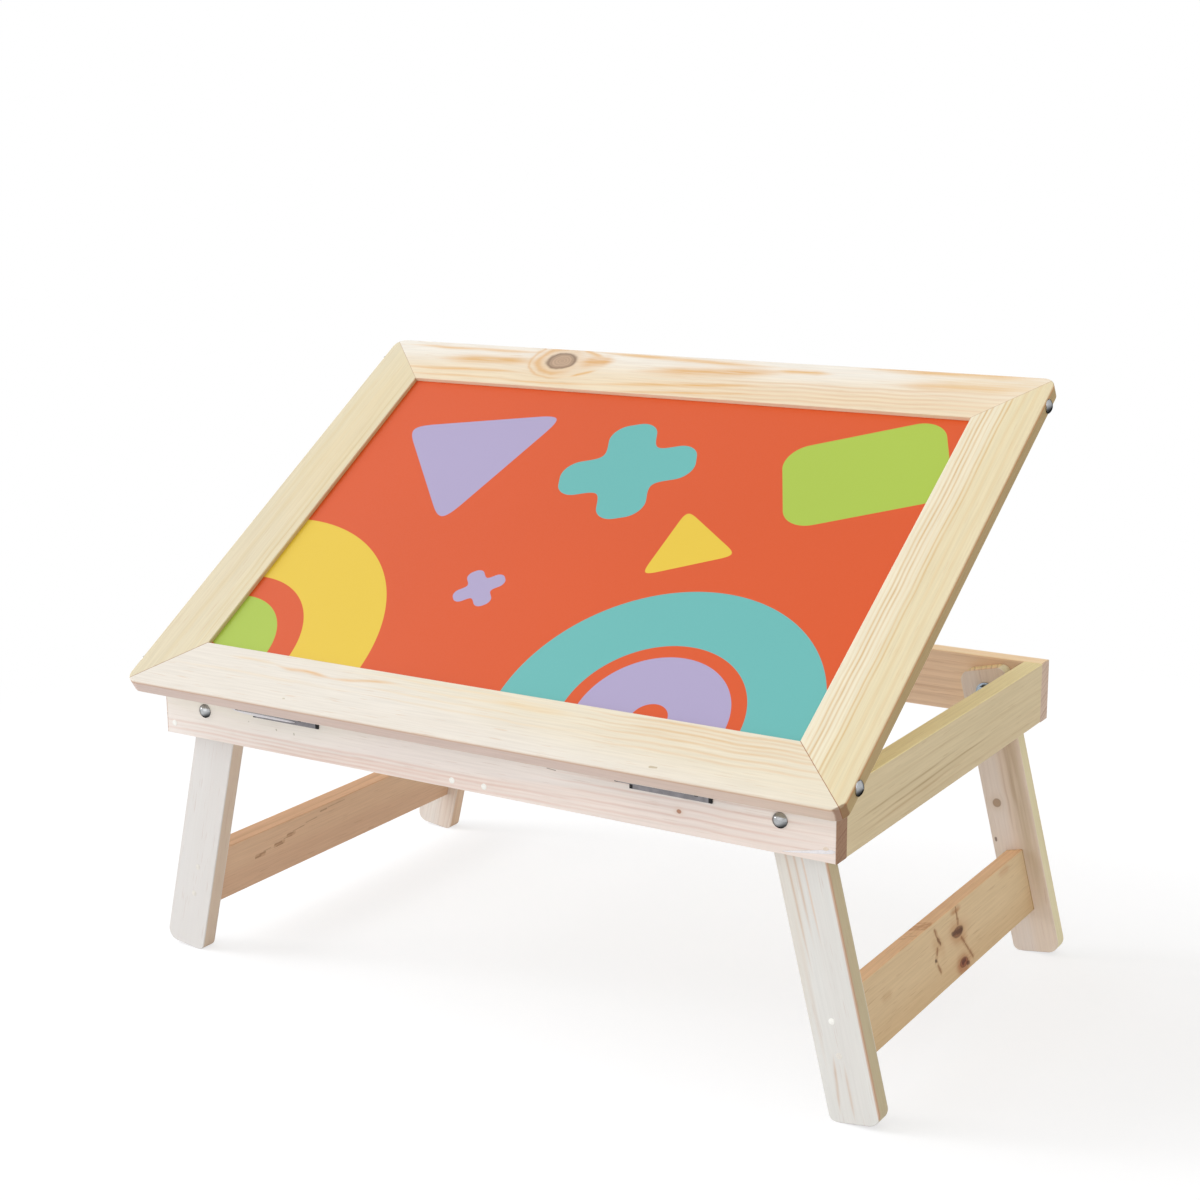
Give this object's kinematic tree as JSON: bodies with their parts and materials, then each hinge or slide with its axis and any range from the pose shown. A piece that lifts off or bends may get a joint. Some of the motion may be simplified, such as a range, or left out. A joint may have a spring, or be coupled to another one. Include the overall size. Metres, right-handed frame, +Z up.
{
  "type": "folding study table",
  "caption": "Low pine study table with a hinged tilting top in a mitred frame round a coloured writing panel, an inner prop, and legs that fold in.",
  "frame": {"origin": "on the floor, below the middle of the table's outline as it stands with the top tilted", "axes": "+X to the right along the table, +Y to the rear, away from the hinged front edge, +Z up"},
  "size_m": [0.6326, 0.4142, 0.4629],
  "materials": {
    "top_pine": "bare sanded pine, pale yellow",
    "rail_pine": "bare sanded pine",
    "leg_pine": "bare sanded pine, whitish",
    "stretcher_pine": "bare sanded pine, warm tan",
    "inner_pine": "bare pine",
    "printed_panel": "smooth satin printed board",
    "zinc_steel": "polished zinc plated",
    "hinge_steel": "dull plated sheet steel"
  },
  "bodies": {
    "base": {"front_rail": "rail_pine", "rear_rail": "rail_pine", "left_side_rail": "rail_pine", "right_side_rail": "rail_pine", "rail_nails": "zinc_steel", "centre_batten": "inner_pine", "batten_nails": "zinc_steel", "prop_rack": "inner_pine", "rack_screws": "zinc_steel", "leg_pivot_bolts": "zinc_steel", "leg_pivot_washers": "zinc_steel", "leg_pivot_nuts": "zinc_steel", "left_hinge_base_leaf": "hinge_steel", "right_hinge_base_leaf": "hinge_steel", "left_hinge_pin": "hinge_steel", "right_hinge_pin": "hinge_steel", "hinge_base_screws": "hinge_steel"},
    "top": {"top_front_member": "top_pine", "top_rear_member": "top_pine", "top_left_member": "top_pine", "top_right_member": "top_pine", "top_panel": "printed_panel", "corner_screws": "zinc_steel", "cross_batten": "inner_pine", "cross_batten_screws": "zinc_steel", "left_prop_bracket": "inner_pine", "right_prop_bracket": "inner_pine", "prop_pivot_rod": "zinc_steel", "prop_pivot_nuts": "zinc_steel", "left_hinge_top_leaf": "hinge_steel", "right_hinge_top_leaf": "hinge_steel", "hinge_top_screws": "hinge_steel"},
    "prop": {"left_prop_arm": "inner_pine", "right_prop_arm": "inner_pine", "prop_foot_dowel": "inner_pine"},
    "left_legs": {"left_front_leg": "leg_pine", "left_rear_leg": "leg_pine", "left_stretcher": "stretcher_pine", "left_stretcher_nails": "zinc_steel"},
    "right_legs": {"right_front_leg": "leg_pine", "right_rear_leg": "leg_pine", "right_stretcher": "stretcher_pine", "right_stretcher_nails": "zinc_steel"}
  },
  "joints": [
    {"name": "top_tilt", "type": "hinge", "parent": "base", "child": "top", "pos_m": [0, -0.18213, 0.2327], "axis": [1, 0, 0], "range_deg": [-32.7, 12.3]},
    {"name": "prop_swing", "type": "hinge", "parent": "top", "child": "prop", "pos_m": [0, -0.04786, 0.3012], "axis": [1, 0, 0], "range_deg": [-23, 60.2]},
    {"name": "left_leg_fold", "type": "hinge", "parent": "base", "child": "left_legs", "pos_m": [-0.2485, 0, 0.21], "axis": [0, -1, 0], "range_deg": [0, 103.75]},
    {"name": "right_leg_fold", "type": "hinge", "parent": "base", "child": "right_legs", "pos_m": [0.2485, 0, 0.21], "axis": [0, 1, 0], "range_deg": [0, 103.75]}
  ],
  "couplings": [
    {"joint": "prop_swing", "follows": "top_tilt", "ratio": -1.8268}
  ]
}
